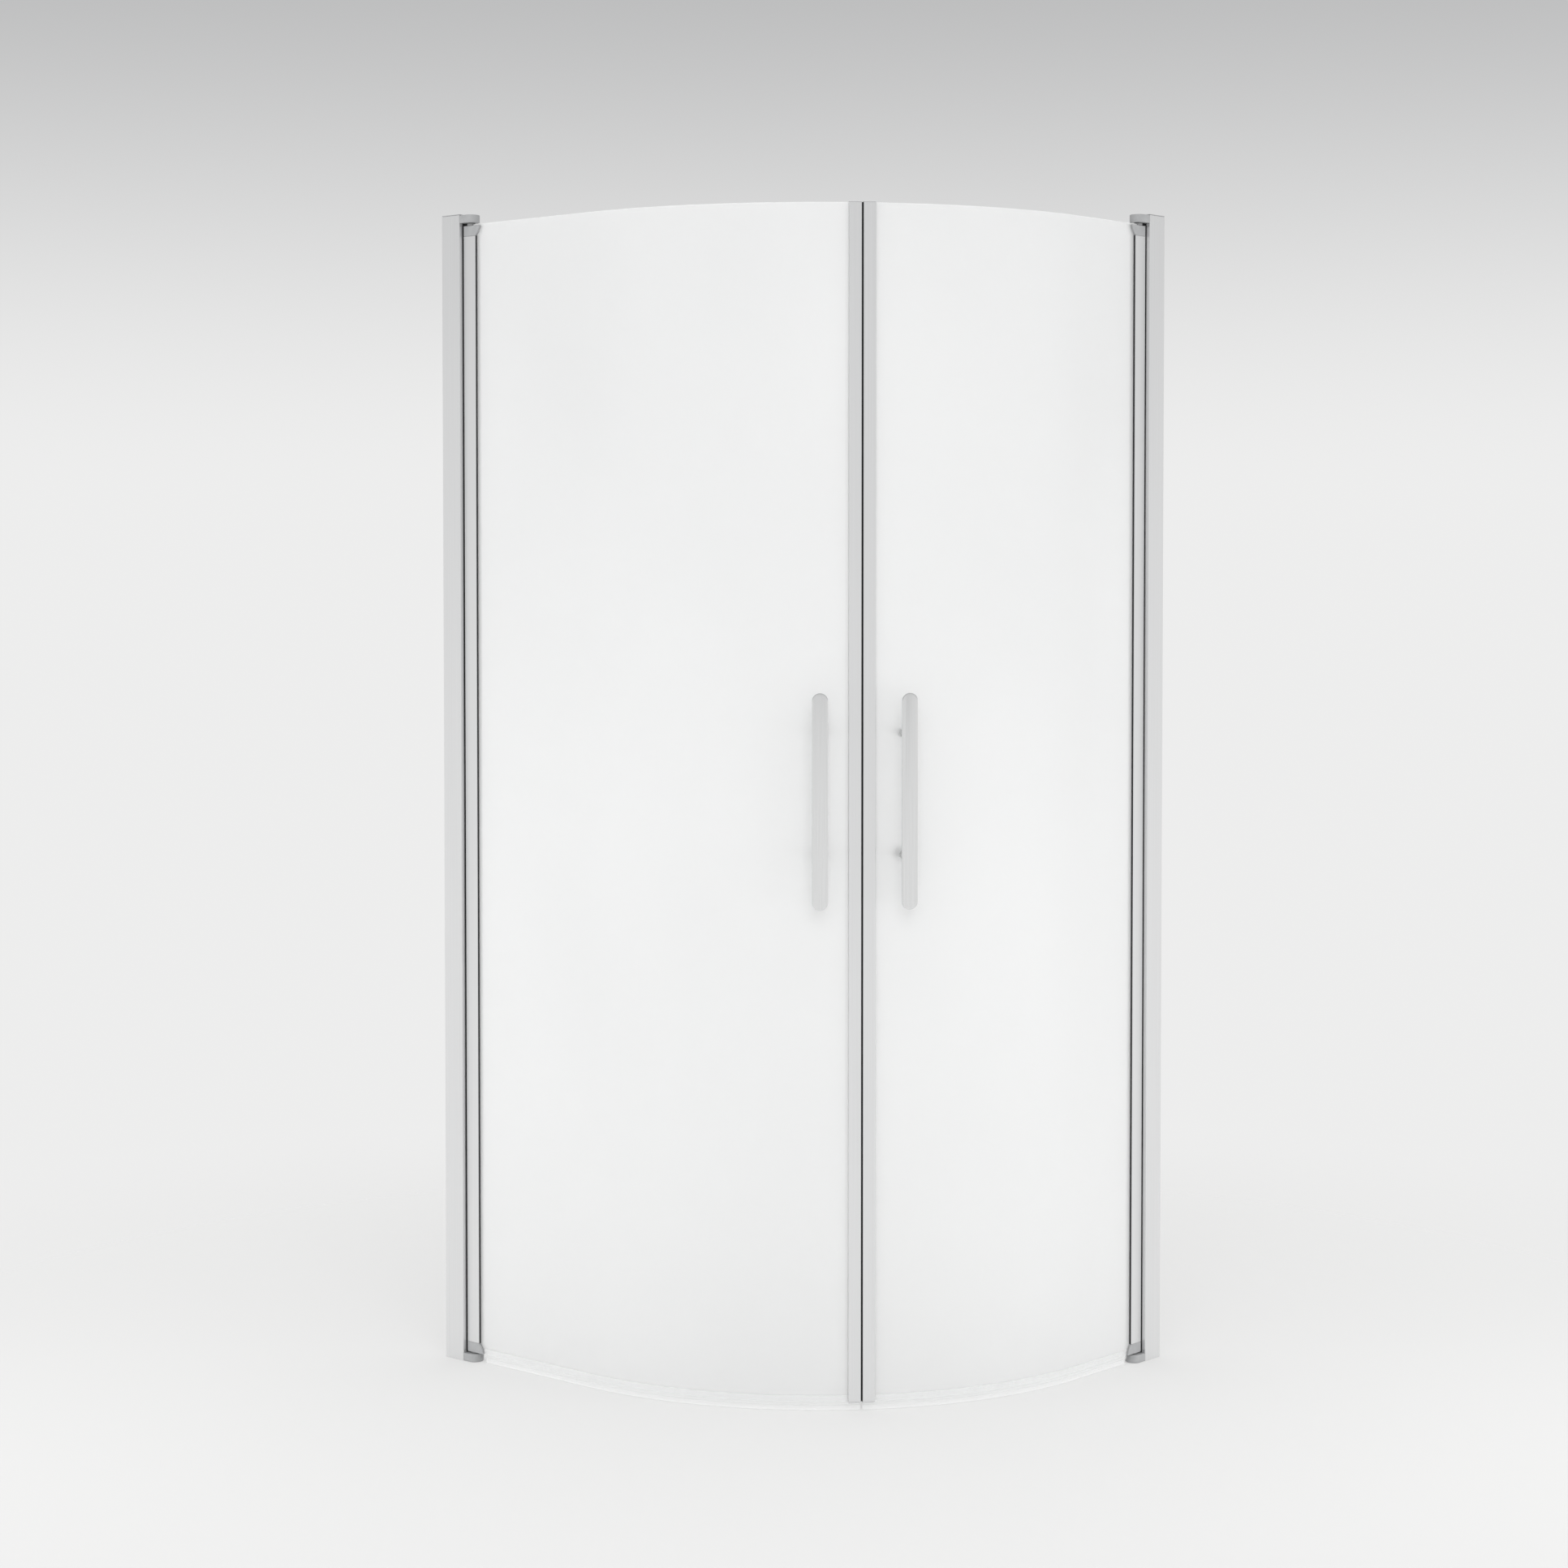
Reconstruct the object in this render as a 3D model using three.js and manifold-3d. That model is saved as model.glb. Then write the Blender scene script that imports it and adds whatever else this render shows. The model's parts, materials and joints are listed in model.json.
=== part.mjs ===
// Round corner shower enclosure: two swing doors of bent glass, each hinged on a post at its wall.
// The doors meet edge to edge on the bend and open outwards.
//
// Millimetres, Z up. The origin is the corner of the two walls at floor level. X runs along the
// back wall, minus Y runs along the left wall. Each side is modelled in a frame of its own:
// x is the distance from its wall, y the depth behind the outer face of its post, and the right
// side is the mirror image of such a frame, turned onto the back wall.

import * as THREE from 'three';
import { mergeVertices } from 'three/addons/utils/BufferGeometryUtils.js';
import Module from 'manifold-3d';

const wasm = await Module();
wasm.setup();

// Driving dimensions
const leftReach = 790; // back wall to the outer face of the left post
const backReach = 896; // left wall to the outer face of the right post
const height = 1900; // floor to the top of the posts
const bendRadius = 560; // outer face of the bent glass
const leftSweep = THREE.MathUtils.degToRad(48.1); // part of the quarter turn on the left door

// Clearances and the overrun of every cut
const seat = 0.3; // between pieces that rest on each other
const slide = 0.4; // between the wall channel and the post that slides over it
const holeEase = 0.3; // round a screw, pin or bolt in its hole
const overrun = 5;
const samePoint = 0.01; // outline points closer than this are one point

// Wall post, its seal and its cap
const post = { reach: 42, depth: 28, wall: 2, wallGap: 0.5, corner: 1.2, notch: 18 };
const postSeal = { width: 13.6, groove: 1, proud: 0.5 };
const postCap = { thickness: 1.2, plugDepth: 7.5, plugLength: 22 };

// Channel that is screwed to the wall inside the post
const channel = { back: 2, leg: 1.6, reach: 26, topDrop: 10 };
const wallHole = { radius: 2.6, endDistance: 150 };

// Pivot brackets on the ends of the posts
const bracket = { reach: 14, thickness: 13.2, boreFloor: 3, blockReach: 13.5, blockHeight: 28 };
const bracketScrew = { radius: 1.9, length: 12, headRadius: 3.8, headHeight: 2.2, endDistance: 22 };
const pin = { radius: 4, shoulderRadius: 7.2, entry: 14 };
const bottomGap = 2.3; // bottom bracket to the door
const topGap = 4.8; // door to the top bracket

// Hinge stile of a door, its end caps and the bushes in them
const stile = { gap: 2, width: 28.2, depth: 14, wall: 2, lip: 1.6, corner: 2, chamfer: 1, chamber: 14.6 };
const gasket = { base: 0.8, cover: 0.7, coverDrop: 0.6 };
const stileCap = { height: 17.2, flare: 10, bulge: 0.62, toe: 1.6, boreDepth: 15, plugDepth: 8 };
const bush = { wall: 1.4 };

// Glass and the strips on its edges
const glass = { thickness: 6, low: 15, topDrop: 17 };
const strip = { width: 19.7, cheek: 4, toJoint: 1.4, web: 2, endCap: 1.2 };
const magnet = { reach: 6, sink: 1.7, toJoint: 0.3 };
const sealStrip = { top: 25, leg: 1.3, floor: 9.5, lip: 1.6, lipLow: 1, jointGap: 2, start: 1 };

// Handle, one on each door
const handle = { length: 336, width: 25, thickness: 5, edge: 0.8, offGlass: 36, low: 789.5, fromJoint: 66 };
const fixing = { low: 82.5, high: 272, glassHole: 5 };
const standoff = { radius: 5.5, studRadius: 3, studReach: 11 };
const washer = { radius: 7, thickness: 1 };
const knob = { neckRadius: 6.5, neck: 7, radius: 12.5, length: 15, edge: 1.5 };
const dome = { radius: 7.5, skirt: 6, length: 13.5 };

// Facets
const facetRun = 18;
const roundSides = 24;
const screwSides = 12;
const filletSteps = 4;

// Places that follow from the dimensions above
const glassInset = (post.depth - glass.thickness) / 2;
const bendDepth = glassInset + bendRadius;
const glassHigh = height - glass.topDrop;
const middle = post.depth / 2;
const pivotReach = post.reach + bracket.reach;
const postTop = height - postCap.thickness - seat;
const doorLow = bracket.thickness + bottomGap;
const doorHigh = postTop - bracket.thickness - topGap;
const grooveFloor = post.reach - postSeal.groove;
const grooveFront = middle - postSeal.width / 2 - seat;
const grooveRear = post.depth - grooveFront;
const stileStart = post.reach + stile.gap;
const stileEnd = stileStart + stile.width;
const stileFront = middle - stile.depth / 2;
const stileRear = middle + stile.depth / 2;
const chamberStart = stileStart + stile.wall;
const chamberEnd = chamberStart + stile.chamber;
const slotStart = chamberEnd + stile.wall;
const glassStart = slotStart + seat + gasket.base + seat;
const bushRadius = pin.radius + holeEase + bush.wall;
const rightAngle = Math.PI / 2;

const sides = [
  { name: 'left', hand: 1, sweep: leftSweep, straight: backReach - bendDepth },
  { name: 'right', hand: -1, sweep: rightAngle - leftSweep, straight: leftReach - bendDepth },
];
for (const side of sides) {
  side.run = side.straight + bendRadius * side.sweep;
}

const looks = {
  satin: { color: 0xcfd1d2, roughness: 0.38, metalness: 0.85 },
  capGrey: { color: 0xa3a5a6, roughness: 0.5, metalness: 0.1 },
  steel: { color: 0xb9bbbd, roughness: 0.3, metalness: 1 },
  chrome: { color: 0xdadcde, roughness: 0.12, metalness: 1 },
  black: { color: 0x1b1c1e, roughness: 0.7, metalness: 0 },
  bushGrey: { color: 0xb4b5b5, roughness: 0.6, metalness: 0 },
  frosted: { color: 0xe9ecec, roughness: 0.45, metalness: 0, transparent: true, opacity: 0.55 },
  clear: { color: 0xdfe3e4, roughness: 0.2, metalness: 0, transparent: true, opacity: 0.45 },
};

// Shapes and solids

// Outline through corners [x, y, radius]; a corner with a radius is rounded by an arc
function outline(corners) {
  const points = [];
  corners.forEach(([x, y, radius = 0], index) => {
    const corner = new THREE.Vector2(x, y);
    if (radius === 0) {
      points.push(corner);
      return;
    }
    const before = new THREE.Vector2(...corners.at(index - 1)).sub(corner).normalize();
    const after = new THREE.Vector2(...corners.at((index + 1) % corners.length)).sub(corner).normalize();
    const half = before.angleTo(after) / 2;
    const bisector = before.clone().add(after).normalize();
    const centre = corner.clone().addScaledVector(bisector, radius / Math.sin(half));
    const first = corner.clone().addScaledVector(before, radius / Math.tan(half)).sub(centre);
    const turn = Math.sign(before.cross(after)) * (2 * half - Math.PI);
    for (let step = 0; step <= filletSteps; step++) {
      const spoke = first.clone().rotateAround(new THREE.Vector2(), (turn * step) / filletSteps);
      points.push(spoke.add(centre));
    }
  });
  const distinct = (point, index) => point.distanceTo(points.at(index - 1)) > samePoint;
  return new THREE.Shape(points.filter(distinct));
}

// Upright solid of a plan outline between two heights
function slab(corners, low, high) {
  const geometry = new THREE.ExtrudeGeometry(outline(corners), { depth: high - low, bevelEnabled: false });
  return geometry.translate(0, 0, low);
}

function rectangle(fromX, toX, fromY, toY) {
  return [[fromX, fromY], [toX, fromY], [toX, toY], [fromX, toY]];
}

function box(fromX, toX, fromY, toY, low, high) {
  return slab(rectangle(fromX, toX, fromY, toY), low, high);
}

// Solid of revolution of a profile [radius, height], set on a point with its axis along a direction
function turned(profile, start, direction, facets = roundSides) {
  const points = profile.map(([radius, rise]) => new THREE.Vector2(radius, rise));
  const up = new THREE.Vector3(0, 1, 0);
  const turn = new THREE.Quaternion().setFromUnitVectors(up, new THREE.Vector3(...direction));
  return new THREE.LatheGeometry(points, facets).applyQuaternion(turn).translate(...start);
}

// Round bar of a given length
function rod(radius, length, start, direction, facets = roundSides) {
  return turned([[0, 0], [radius, 0], [radius, length], [0, length]], start, direction, facets);
}

function toSolid(geometry) {
  const bare = geometry.clone();
  bare.deleteAttribute('normal');
  bare.deleteAttribute('uv');
  const merged = mergeVertices(bare);
  const corners = merged.index.array;
  const triVerts = [];
  for (let i = 0; i < corners.length; i += 3) {
    const [a, b, c] = corners.slice(i, i + 3);
    if (a !== b && b !== c && c !== a) triVerts.push(a, b, c);
  }
  const vertProperties = merged.attributes.position.array;
  const mesh = new wasm.Mesh({ numProp: 3, vertProperties, triVerts: new Uint32Array(triVerts) });
  return new wasm.Manifold(mesh);
}

function toGeometry(solid) {
  const mesh = solid.getMesh();
  const geometry = new THREE.BufferGeometry();
  geometry.setAttribute('position', new THREE.BufferAttribute(mesh.vertProperties, 3));
  geometry.setIndex(new THREE.BufferAttribute(mesh.triVerts, 1));
  const faceted = geometry.toNonIndexed();
  faceted.computeVertexNormals();
  return faceted;
}

function join(...geometries) {
  return toGeometry(geometries.map(toSolid).reduce((whole, piece) => whole.add(piece)));
}

function cut(geometry, ...tools) {
  return toGeometry(tools.map(toSolid).reduce((whole, tool) => whole.subtract(tool), toSolid(geometry)));
}

// Mirror image across the plane y = 0, with the corners of each face in reverse order
function mirrored(geometry) {
  const flipped = geometry.index ? geometry.toNonIndexed() : geometry.clone();
  flipped.scale(1, -1, 1);
  const count = flipped.attributes.position.count;
  flipped.setIndex(Array.from({ length: count }, (_, index) => count - 1 - index));
  return flipped;
}

// Line of the glass

// Plan point at a run along the outer face of the glass and an inset behind that face
function along(side, run, inset) {
  if (run <= side.straight) return [run, glassInset + inset];
  const turn = (run - side.straight) / bendRadius;
  const radius = bendRadius - inset;
  return [side.straight + radius * Math.sin(turn), bendDepth - radius * Math.cos(turn)];
}

// Outline of a strip that follows the glass between two runs and two insets; all strips of a
// side share the lines between their facets
function ribbon(side, from, to, outside, inside) {
  const stops = [from];
  for (let stop = side.straight; stop < to; stop += facetRun) {
    if (stop > from) stops.push(stop);
  }
  stops.push(to);
  const front = stops.map((run) => along(side, run, outside));
  const rear = stops.map((run) => along(side, run, inside)).reverse();
  return [...front, ...rear];
}

// Plan outline from points [distance before the joint of the doors, inset behind the glass's face]
function beforeJoint(side, points) {
  return points.map(([distance, inset]) => along(side, side.run - distance, inset));
}

// Wall post and what it carries

function wallChannel() {
  const front = post.wall + slide;
  const rear = post.depth - front;
  const section = [
    [0, front],
    [channel.reach, front],
    [channel.reach, front + channel.leg],
    [channel.back, front + channel.leg],
    [channel.back, rear - channel.leg],
    [channel.reach, rear - channel.leg],
    [channel.reach, rear],
    [0, rear],
  ];
  const levels = [wallHole.endDistance, height / 2, height - wallHole.endDistance];
  const holes = levels.map((z) => rod(wallHole.radius, 2 * overrun, [-overrun, middle, z], [1, 0, 0]));
  return cut(slab(section, 0, height - channel.topDrop), ...holes);
}

function hingePost() {
  const section = [
    [post.wallGap, 0],
    [post.reach, 0, post.corner],
    [post.reach, grooveFront],
    [grooveFloor, grooveFront],
    [grooveFloor, grooveRear],
    [post.reach, grooveRear],
    [post.reach, post.depth, post.corner],
    [post.wallGap, post.depth],
    [post.wallGap, post.depth - post.wall],
    [post.reach - post.wall, post.depth - post.wall],
    [post.reach - post.wall, post.wall],
    [post.wallGap, post.wall],
  ];
  const notchStart = post.reach - post.wall - seat;
  const notchPlan = [notchStart, post.reach + overrun, post.wall, post.depth - post.wall];
  const notches = [
    box(...notchPlan, -overrun, post.notch),
    box(...notchPlan, postTop - post.notch, height),
  ];
  const screwHoles = bracketScrewLevels.map((z) => {
    const start = [bracketScrewReach, post.depth - overrun, z];
    return rod(bracketScrew.radius + holeEase, 2 * overrun, start, [0, 1, 0], screwSides);
  });
  return cut(slab(section, 0, postTop), ...notches, ...screwHoles);
}

function capOfPost() {
  const side = post.wall + slide;
  const plugPlan = [side, side + postCap.plugLength, side, post.depth - side];
  const plug = box(...plugPlan, height - postCap.plugDepth, height - seat);
  const plate = [
    [post.wallGap, 0],
    [post.reach, 0, post.corner],
    [post.reach, post.depth, post.corner],
    [post.wallGap, post.depth],
  ];
  return join(slab(plate, height - postCap.thickness, height), plug);
}

function sealOfPost() {
  const front = middle - postSeal.width / 2;
  const start = post.reach - postSeal.groove + seat;
  const section = rectangle(start, post.reach + postSeal.proud, front, front + postSeal.width);
  const end = bracket.thickness + seat;
  return slab(section, end, postTop - end);
}

// Pivot brackets

const bracketScrewLevels = [bracketScrew.endDistance, postTop - bracketScrew.endDistance];
const blockEnd = post.reach - post.wall - slide;
const blockStart = blockEnd - bracket.blockReach;
const bracketScrewReach = (blockStart + blockEnd) / 2;

// Bracket on the floor end of the post, without the bore for its screw
function bracketBody() {
  const armEnd = pivotReach + middle;
  const arm = [
    [post.reach + seat, 0],
    [armEnd, 0, middle],
    [armEnd, post.depth, middle],
    [post.reach + seat, post.depth],
  ];
  const front = post.wall + seat;
  const rear = post.depth - front;
  const neck = box(blockStart, pivotReach, front, rear, 0, bracket.thickness);
  const foot = box(blockStart, post.reach, front, rear, 0, post.notch - seat);
  const block = box(blockStart, blockEnd, front, rear, 0, bracket.blockHeight);
  const groovePlan = [grooveFloor, post.reach + overrun, grooveFront, grooveRear];
  const groove = box(...groovePlan, bracket.thickness, post.notch);
  const boreStart = [pivotReach, middle, bracket.boreFloor];
  const bore = rod(pin.radius + holeEase, bracket.thickness, boreStart, [0, 0, 1]);
  return cut(join(slab(arm, 0, bracket.thickness), neck, foot, block), groove, bore);
}

// The screw comes from inside the shower at both ends, so its bore is cut once the body is in place
function bracketScrewBore(level) {
  const start = [bracketScrewReach, post.depth - bracketScrew.length, level];
  return rod(bracketScrew.radius + holeEase, bracketScrew.length, start, [0, 1, 0], screwSides);
}

function bottomBracket() {
  return cut(bracketBody(), bracketScrewBore(bracketScrewLevels[0]));
}

function topBracket() {
  const upsideDown = bracketBody().rotateX(Math.PI).translate(0, post.depth, postTop);
  return cut(upsideDown, bracketScrewBore(bracketScrewLevels[1]));
}

// Screw with a domed head, from the top of the head down
function bracketScrewBody() {
  const crown = bracketScrew.headHeight / 2;
  const end = bracketScrew.headHeight + bracketScrew.length;
  const profile = [
    [0, 0],
    [bracketScrew.headRadius - crown, 0],
    [bracketScrew.headRadius, crown],
    [bracketScrew.headRadius, bracketScrew.headHeight],
    [bracketScrew.radius, bracketScrew.headHeight],
    [bracketScrew.radius, end - bracketScrew.radius],
    [0, end],
  ];
  const headTop = post.depth + seat + bracketScrew.headHeight;
  return turned(profile, [bracketScrewReach, headTop, 0], [0, -1, 0], screwSides);
}

// Pin from inside a bracket into the door, with a shoulder in the gap between them
function pivotPin(gap) {
  const low = bracket.boreFloor + seat;
  const shoulderLow = bracket.thickness + seat;
  const shoulderHigh = bracket.thickness + gap - seat;
  const high = bracket.thickness + gap + pin.entry;
  const profile = [
    [0, low],
    [pin.radius, low],
    [pin.radius, shoulderLow],
    [pin.shoulderRadius, shoulderLow],
    [pin.shoulderRadius, shoulderHigh],
    [pin.radius, shoulderHigh],
    [pin.radius, high],
    [0, high],
  ];
  return turned(profile, [pivotReach, middle, 0], [0, 0, 1]);
}

// Hinge stile of a door

function hingeStile() {
  const section = [
    [stileStart, stileFront, stile.corner],
    [stileEnd - stile.chamfer, stileFront],
    [stileEnd, stileFront + stile.chamfer],
    [stileEnd, stileFront + stile.lip],
    [slotStart, stileFront + stile.lip],
    [slotStart, stileRear - stile.lip],
    [stileEnd, stileRear - stile.lip],
    [stileEnd, stileRear - stile.chamfer],
    [stileEnd - stile.chamfer, stileRear],
    [stileStart, stileRear, stile.corner],
  ];
  const low = doorLow + stileCap.height;
  const high = doorHigh - stileCap.height;
  const chamberPlan = [chamberStart, chamberEnd, stileFront + stile.wall, stileRear - stile.wall];
  return cut(slab(section, low, high), box(...chamberPlan, low - overrun, high + overrun));
}

// U round the edge of the glass; both legs turn over the lips of the stile
function glazingGasket() {
  const start = slotStart + seat;
  const bed = start + gasket.base;
  const lipEnd = stileEnd + seat;
  const end = lipEnd + gasket.cover;
  const lipInner = stileFront + stile.lip + seat;
  const cover = stileFront + gasket.coverDrop;
  const glassFront = glassInset - seat;
  const half = [
    [start, lipInner],
    [lipEnd, lipInner],
    [lipEnd, cover],
    [end, cover],
    [end, glassFront],
    [bed, glassFront],
  ];
  const otherHalf = half.map(([x, y]) => [x, post.depth - y]).reverse();
  const section = [...half, ...otherHalf];
  return slab(section, doorLow + stileCap.height, doorHigh - stileCap.height);
}

// Bottom cap of the stile; it widens along the glass towards the end of the door
function stileEndCap() {
  const high = stileCap.height - seat;
  const body = slab(
    [
      [stileStart, stileFront, stile.corner],
      [stileEnd, stileFront],
      [stileEnd, stileRear],
      [stileStart, stileRear, stile.corner],
    ],
    0,
    high,
  );
  const flareEnd = stileEnd + stileCap.flare;
  const bulgeReach = stileEnd + stileCap.flare * stileCap.bulge;
  const bulgeLevel = stileCap.toe + (high - stileCap.toe) * stileCap.bulge;
  const flareShape = new THREE.Shape();
  flareShape.moveTo(slotStart, 0);
  flareShape.lineTo(flareEnd, 0);
  flareShape.lineTo(flareEnd, stileCap.toe);
  flareShape.quadraticCurveTo(bulgeReach, bulgeLevel, stileEnd, high);
  flareShape.lineTo(slotStart, high);
  const flareSettings = { depth: stile.depth, bevelEnabled: false, curveSegments: filletSteps };
  const flare = new THREE.ExtrudeGeometry(flareShape, flareSettings);
  flare.rotateX(rightAngle).translate(0, stileRear, 0);
  const plugFront = stileFront + stile.wall + seat;
  const plugPlan = [chamberStart + seat, chamberEnd - seat, plugFront, post.depth - plugFront];
  const plug = box(...plugPlan, high - stile.wall, high + stileCap.plugDepth);
  const slotFront = glassInset - seat;
  const slotPlan = [glassStart - seat, flareEnd + overrun, slotFront, post.depth - slotFront];
  const slot = box(...slotPlan, -overrun, stileCap.height + overrun);
  const boreStart = [pivotReach, middle, -overrun];
  const bore = rod(bushRadius + holeEase, stileCap.boreDepth + overrun, boreStart, [0, 0, 1]);
  return cut(join(body, flare, plug), slot, bore);
}

function pivotBush() {
  const bore = pin.radius + holeEase;
  const length = stileCap.boreDepth - seat;
  const profile = [[bore, 0], [bushRadius, 0], [bushRadius, length], [bore, length], [bore, 0]];
  return turned(profile, [pivotReach, middle, 0], [0, 0, 1]);
}

// Glass and its edge strips

function doorGlass(side) {
  const end = side.run - strip.toJoint - magnet.reach - strip.web - seat;
  const pane = slab(ribbon(side, glassStart, end, 0, glass.thickness), glass.low, glassHigh);
  const run = side.run - handle.fromJoint;
  const turn = (run - side.straight) / bendRadius;
  const direction = [-Math.sin(turn), Math.cos(turn), 0];
  const [x, y] = along(side, run, -overrun);
  const holes = [fixing.low, fixing.high].map((rise) =>
    rod(fixing.glassHole, glass.thickness + 2 * overrun, [x, y, handle.low + rise], direction),
  );
  return cut(pane, ...holes);
}

// Strip on the meeting edge, with a slot for the glass and a groove for the magnet
function closingProfile(side) {
  const inner = glass.thickness + strip.cheek;
  const start = strip.toJoint;
  const grooveEnd = start + magnet.reach;
  const slotEnd = grooveEnd + strip.web;
  const end = start + strip.width;
  const grooveOut = magnet.sink - strip.cheek - seat;
  const section = [
    [end, -strip.cheek],
    [start, -strip.cheek],
    [start, grooveOut],
    [grooveEnd, grooveOut],
    [grooveEnd, glass.thickness - grooveOut],
    [start, glass.thickness - grooveOut],
    [start, inner],
    [end, inner],
    [end, glass.thickness + slide],
    [slotEnd, glass.thickness + slide],
    [slotEnd, -slide],
    [end, -slide],
  ];
  return slab(beforeJoint(side, section), glass.low, glassHigh);
}

function closingEndCap(side) {
  const inner = glass.thickness + strip.cheek;
  const end = strip.toJoint + strip.width;
  const plan = [[end, -strip.cheek], [strip.toJoint, -strip.cheek], [strip.toJoint, inner], [end, inner]];
  return slab(beforeJoint(side, plan), 0, strip.endCap);
}

function magnetSeal(side) {
  const front = magnet.sink - strip.cheek;
  const rear = glass.thickness - front;
  const end = strip.toJoint + magnet.reach - seat;
  const section = [[end, front], [magnet.toJoint, front], [magnet.toJoint, rear], [end, rear]];
  return slab(beforeJoint(side, section), glass.low, glassHigh);
}

// Clear strip that clips onto the bottom edge of the glass and hangs a lip to the floor
function bottomSeal(side) {
  const start = stileEnd + stileCap.flare + sealStrip.start;
  const clipEnd = side.run - strip.toJoint - strip.width - seat;
  const bodyEnd = side.run - sealStrip.jointGap;
  const outside = -seat - sealStrip.leg;
  const inside = glass.thickness - outside;
  const shelf = glass.low - seat - strip.endCap - seat;
  const lipFront = (glass.thickness - sealStrip.lip) / 2;
  const body = slab(ribbon(side, start, bodyEnd, outside, inside), sealStrip.floor, shelf);
  const bed = slab(ribbon(side, start, clipEnd, outside, inside), sealStrip.floor, glass.low - seat);
  const outerLeg = slab(ribbon(side, start, clipEnd, outside, -seat), sealStrip.floor, sealStrip.top);
  const innerPlan = ribbon(side, start, clipEnd, glass.thickness + seat, inside);
  const innerLeg = slab(innerPlan, sealStrip.floor, sealStrip.top);
  const lipPlan = ribbon(side, start, bodyEnd, lipFront, lipFront + sealStrip.lip);
  return join(body, bed, outerLeg, innerLeg, slab(lipPlan, sealStrip.lipLow, shelf));
}

// Handle, in a frame on the outer face of the glass: x along it, y inwards, z up from the bar's low end

const barInner = -handle.offGlass + handle.thickness / 2;
const knobSeat = glass.thickness + seat;
const studBore = { radius: standoff.studRadius + holeEase, depth: standoff.studReach + seat };

function handleBar() {
  const radius = handle.width / 2 - handle.edge;
  const plan = new THREE.Shape();
  plan.absarc(0, handle.width / 2, radius, Math.PI, 2 * Math.PI);
  plan.absarc(0, handle.length - handle.width / 2, radius, 0, Math.PI);
  const geometry = new THREE.ExtrudeGeometry(plan, {
    depth: handle.thickness - 2 * handle.edge,
    bevelSize: handle.edge,
    bevelThickness: handle.edge,
    bevelSegments: 2,
    curveSegments: 14,
  });
  return geometry.rotateX(rightAngle).translate(0, barInner - handle.edge, 0);
}

// Post that carries the bar; its stud passes through the glass into the knob or the cap nut
function handleStandoff() {
  const start = knobSeat + standoff.studReach;
  const shoulder = start + seat + washer.thickness + seat;
  const end = start - barInner - seat;
  const profile = [
    [0, 0],
    [standoff.studRadius, 0],
    [standoff.studRadius, shoulder],
    [standoff.radius, shoulder],
    [standoff.radius, end],
    [0, end],
  ];
  return turned(profile, [0, start, 0], [0, -1, 0]);
}

function glassWasher() {
  const profile = [
    [studBore.radius, 0],
    [washer.radius, 0],
    [washer.radius, washer.thickness],
    [studBore.radius, washer.thickness],
    [studBore.radius, 0],
  ];
  return turned(profile, [0, -seat, 0], [0, -1, 0]);
}

function innerKnob() {
  const profile = [
    [studBore.radius, 0],
    [knob.neckRadius, 0],
    [knob.neckRadius, knob.neck - knob.edge],
    [knob.radius - knob.edge, knob.neck],
    [knob.radius, knob.neck + knob.edge],
    [knob.radius, knob.length - knob.edge],
    [knob.radius - knob.edge, knob.length],
    [0, knob.length],
    [0, studBore.depth],
    [studBore.radius, studBore.depth],
    [studBore.radius, 0],
  ];
  return turned(profile, [0, knobSeat, 0], [0, 1, 0]);
}

function innerCap() {
  const rise = dome.length - dome.skirt;
  const crown = [];
  for (let step = 1; step < filletSteps; step++) {
    const angle = (rightAngle * step) / filletSteps;
    crown.push([dome.radius * Math.cos(angle), dome.skirt + rise * Math.sin(angle)]);
  }
  const profile = [
    [studBore.radius, 0],
    [dome.radius, 0],
    [dome.radius, dome.skirt],
    ...crown,
    [0, dome.length],
    [0, studBore.depth],
    [studBore.radius, studBore.depth],
    [studBore.radius, 0],
  ];
  return turned(profile, [0, knobSeat, 0], [0, 1, 0]);
}

// Scene graph

// A named piece at a height; pieces of the right side are mirror images
function addPiece(parent, side, name, look, geometry, level = 0) {
  const shape = side.hand < 0 ? mirrored(geometry) : geometry;
  const mesh = new THREE.Mesh(shape, new THREE.MeshStandardMaterial({ ...looks[look] }));
  mesh.name = `${side.name}_${name}`;
  mesh.position.z = level;
  parent.add(mesh);
  return mesh;
}

// Turns a bottom piece upside down about the middle of the post and hangs it from a height
function hangFrom(mesh, side, top) {
  mesh.rotation.x = Math.PI;
  mesh.position.set(0, side.hand * post.depth, top);
}

function addPost(frame, side) {
  addPiece(frame, side, 'wall_channel', 'satin', wallChannel());
  addPiece(frame, side, 'hinge_post', 'satin', hingePost());
  addPiece(frame, side, 'post_cap', 'capGrey', capOfPost());
  addPiece(frame, side, 'post_seal', 'black', sealOfPost());
  addPiece(frame, side, 'bottom_pivot_bracket', 'capGrey', bottomBracket());
  addPiece(frame, side, 'top_pivot_bracket', 'capGrey', topBracket());
  const [lowScrew, highScrew] = bracketScrewLevels;
  addPiece(frame, side, 'bottom_bracket_screw', 'steel', bracketScrewBody(), lowScrew);
  addPiece(frame, side, 'top_bracket_screw', 'steel', bracketScrewBody(), highScrew);
  addPiece(frame, side, 'bottom_pivot_pin', 'steel', pivotPin(bottomGap));
  hangFrom(addPiece(frame, side, 'top_pivot_pin', 'steel', pivotPin(topGap)), side, postTop);
}

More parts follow.
